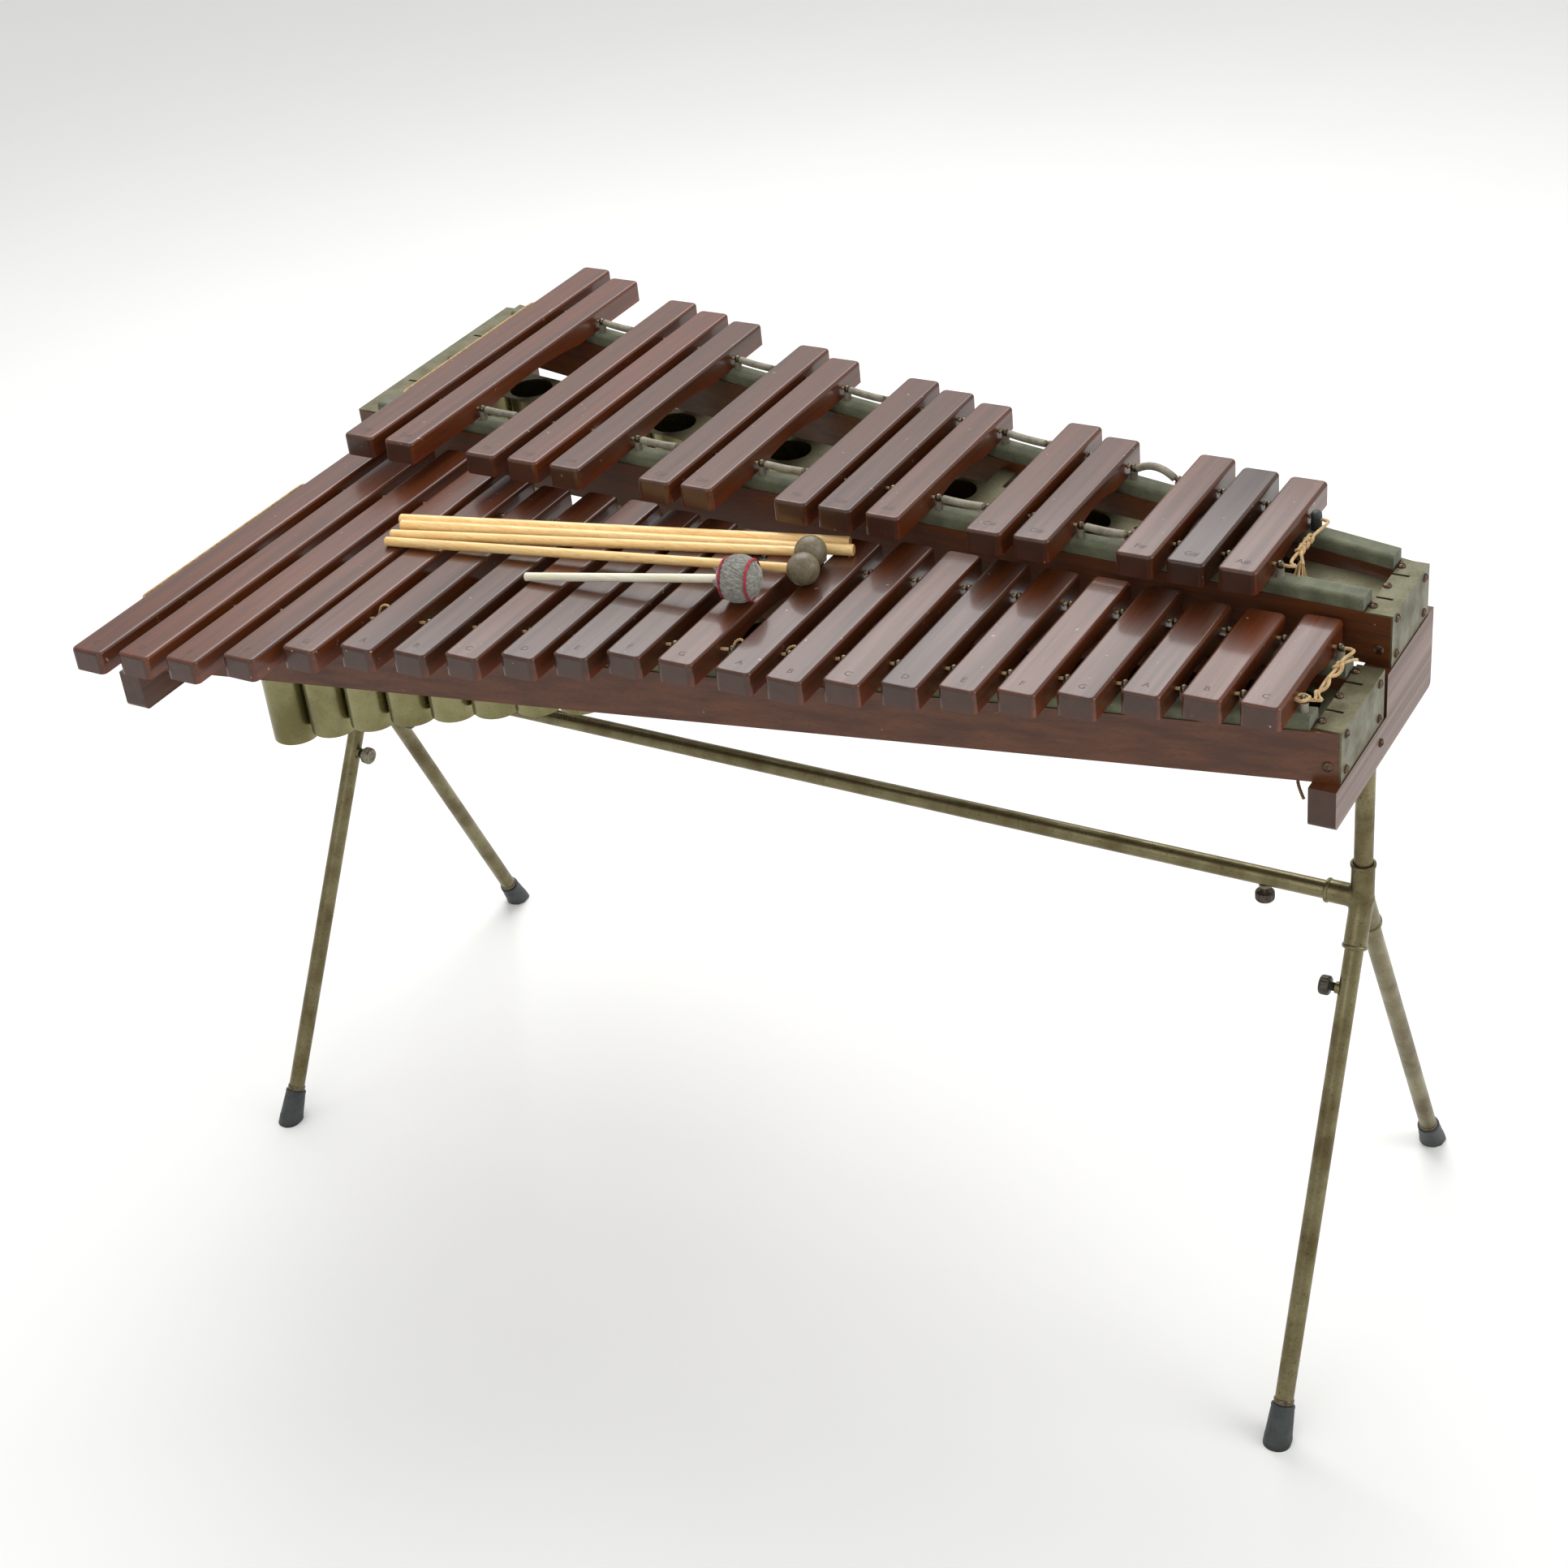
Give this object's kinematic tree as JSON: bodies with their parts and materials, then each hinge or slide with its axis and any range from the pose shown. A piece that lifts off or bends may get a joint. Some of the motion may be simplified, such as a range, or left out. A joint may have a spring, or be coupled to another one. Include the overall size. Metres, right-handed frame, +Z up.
{
  "type": "xylophone",
  "caption": "Concert xylophone with rosewood bars in two tiers on cord and posts, tubular resonators, tapered wood frame and a tubular stand on four rubber feet, with mallets laid on the bars.",
  "frame": {"origin": "on the floor, under the middle of the whole instrument", "axes": "+X along the keyboard towards the high notes, +Y away from the player, +Z up"},
  "size_m": [1.1749, 0.8249, 0.7653],
  "materials": {
    "rosewood": "oiled, glossy top, rounded edges",
    "frame_wood": "stained and varnished",
    "felt": "grey-green felt",
    "plate_steel": "dull nickel-grey sheet",
    "resonator_metal": "dull olive-nickel tube",
    "screw_steel": "worn steel",
    "post_steel": "worn nickel-plated steel",
    "sleeve_rubber": "perished grey-brown rubber",
    "hemp_cord": "twisted natural cord",
    "aged_nickel": "aged nickel plate, brown spotting",
    "knob_metal": "dark worn knurled knob",
    "foot_rubber": "matte black rubber",
    "stick_wood": "plain varnished beech",
    "white_stick": "pale varnished wood",
    "ball_rubber": "matte grey rubber",
    "wool_yarn": "grey yarn winding"
  },
  "bodies": {
    "stand": {"casting_left": "aged_nickel", "casting_right": "aged_nickel", "spreader_inner_tube": "aged_nickel", "spreader_outer_tube": "aged_nickel", "leg_inner_tubes": "aged_nickel"},
    "keyboard": {"natural_bars_low_cde": "rosewood", "natural_bars_low_fgab": "rosewood", "natural_bars_middle_cde": "rosewood", "natural_bars_middle_fgab": "rosewood", "natural_bars_high_cde": "rosewood", "natural_bars_high_fgabc": "rosewood", "accidental_bars_low_pair": "rosewood", "accidental_bars_low_trio": "rosewood", "accidental_bars_middle_pair": "rosewood", "accidental_bars_middle_trio": "rosewood", "accidental_bars_high_pair": "rosewood", "accidental_bars_high_trio": "rosewood", "natural_front_rail": "frame_wood", "natural_rear_rail": "frame_wood", "accidental_front_rail": "frame_wood", "accidental_rear_rail": "frame_wood", "felt_strips": "felt", "end_plates": "plate_steel", "frame_screws": "screw_steel", "natural_cord_posts": "post_steel", "accidental_cord_posts": "post_steel", "post_sleeves": "sleeve_rubber", "natural_cord": "hemp_cord", "accidental_cord": "hemp_cord", "cord_sleeves": "sleeve_rubber", "cord_tail": "hemp_cord", "natural_resonators": "resonator_metal", "natural_resonator_plate": "plate_steel", "accidental_resonators": "resonator_metal", "accidental_resonator_plate": "plate_steel", "end_board_left": "frame_wood", "end_board_right": "frame_wood", "upright_left": "aged_nickel", "upright_right": "aged_nickel"},
    "leg_left_front": {"leg_left_front": "aged_nickel", "rubber_foot_left_front": "foot_rubber"},
    "knob_left_front": {"leg_knob_left_front": "knob_metal"},
    "leg_left_rear": {"leg_left_rear": "aged_nickel", "rubber_foot_left_rear": "foot_rubber"},
    "knob_left_rear": {"leg_knob_left_rear": "knob_metal"},
    "leg_right_front": {"leg_right_front": "aged_nickel", "rubber_foot_right_front": "foot_rubber"},
    "knob_right_front": {"leg_knob_right_front": "knob_metal"},
    "leg_right_rear": {"leg_right_rear": "aged_nickel", "rubber_foot_right_rear": "foot_rubber"},
    "knob_right_rear": {"leg_knob_right_rear": "knob_metal"},
    "spreader_knob": {"spreader_knob": "knob_metal"},
    "rubber_mallet_rear": {"rubber_mallet_rear_stick": "stick_wood", "rubber_mallet_rear_head": "ball_rubber"},
    "rubber_mallet_front": {"rubber_mallet_front_stick": "stick_wood", "rubber_mallet_front_head": "ball_rubber"},
    "yarn_mallet": {"yarn_mallet_stick": "white_stick", "yarn_mallet_head": "wool_yarn"},
    "plain_rod_rear": {"plain_rod_rear": "stick_wood"},
    "plain_rod_front": {"plain_rod_front": "stick_wood"}
  },
  "joints": [
    {"name": "keyboard_lift", "type": "slide", "parent": "stand", "child": "keyboard", "axis": [0, 0, 1], "range_m": [0, 0.12]},
    {"name": "leg_extend_left_front", "type": "slide", "parent": "stand", "child": "leg_left_front", "axis": [-0.075, -0.4428, -0.8935], "range_m": [0, 0.185]},
    {"name": "knob_turn_left_front", "type": "hinge", "parent": "leg_left_front", "child": "knob_left_front", "pos_m": [-0.54253, -0.0442, 0.38095], "axis": [0.9972, -0.0333, -0.0672], "continuous": true},
    {"name": "leg_extend_left_rear", "type": "slide", "parent": "stand", "child": "leg_left_rear", "axis": [-0.075, 0.4428, -0.8935], "range_m": [0, 0.185]},
    {"name": "knob_turn_left_rear", "type": "hinge", "parent": "leg_left_rear", "child": "knob_left_rear", "pos_m": [-0.54253, 0.0302, 0.38095], "axis": [0.9972, 0.0333, -0.0672], "continuous": true},
    {"name": "leg_extend_right_front", "type": "slide", "parent": "stand", "child": "leg_right_front", "axis": [0.0172, -0.444, -0.8959], "range_m": [0, 0.185]},
    {"name": "knob_turn_right_front", "type": "hinge", "parent": "leg_right_front", "child": "knob_right_front", "pos_m": [0.56721, -0.0443, 0.38075], "axis": [-0.9999, -0.0076, -0.0154], "continuous": true},
    {"name": "leg_extend_right_rear", "type": "slide", "parent": "stand", "child": "leg_right_rear", "axis": [0.0172, 0.444, -0.8959], "range_m": [0, 0.185]},
    {"name": "knob_turn_right_rear", "type": "hinge", "parent": "leg_right_rear", "child": "knob_right_rear", "pos_m": [0.56721, 0.0303, 0.38075], "axis": [-0.9999, 0.0076, -0.0154], "continuous": true},
    {"name": "knob_turn_spreader", "type": "hinge", "parent": "stand", "child": "spreader_knob", "pos_m": [0.47577, -0.007, 0.456], "axis": [0, 0, -1], "continuous": true},
    {"name": "rubber_mallet_rear_lift", "type": "slide", "parent": "keyboard", "child": "rubber_mallet_rear", "axis": [0, 0, 1], "range_m": [0, 0.25]},
    {"name": "rubber_mallet_front_lift", "type": "slide", "parent": "keyboard", "child": "rubber_mallet_front", "axis": [0, 0, 1], "range_m": [0, 0.25]},
    {"name": "yarn_mallet_lift", "type": "slide", "parent": "keyboard", "child": "yarn_mallet", "axis": [0, 0, 1], "range_m": [0, 0.25]},
    {"name": "plain_rod_rear_draw", "type": "slide", "parent": "keyboard", "child": "plain_rod_rear", "axis": [-0.974, -0.2268, 0], "range_m": [0, 0.25]},
    {"name": "plain_rod_front_draw", "type": "slide", "parent": "keyboard", "child": "plain_rod_front", "axis": [-0.974, -0.2268, 0], "range_m": [0, 0.25]}
  ]
}
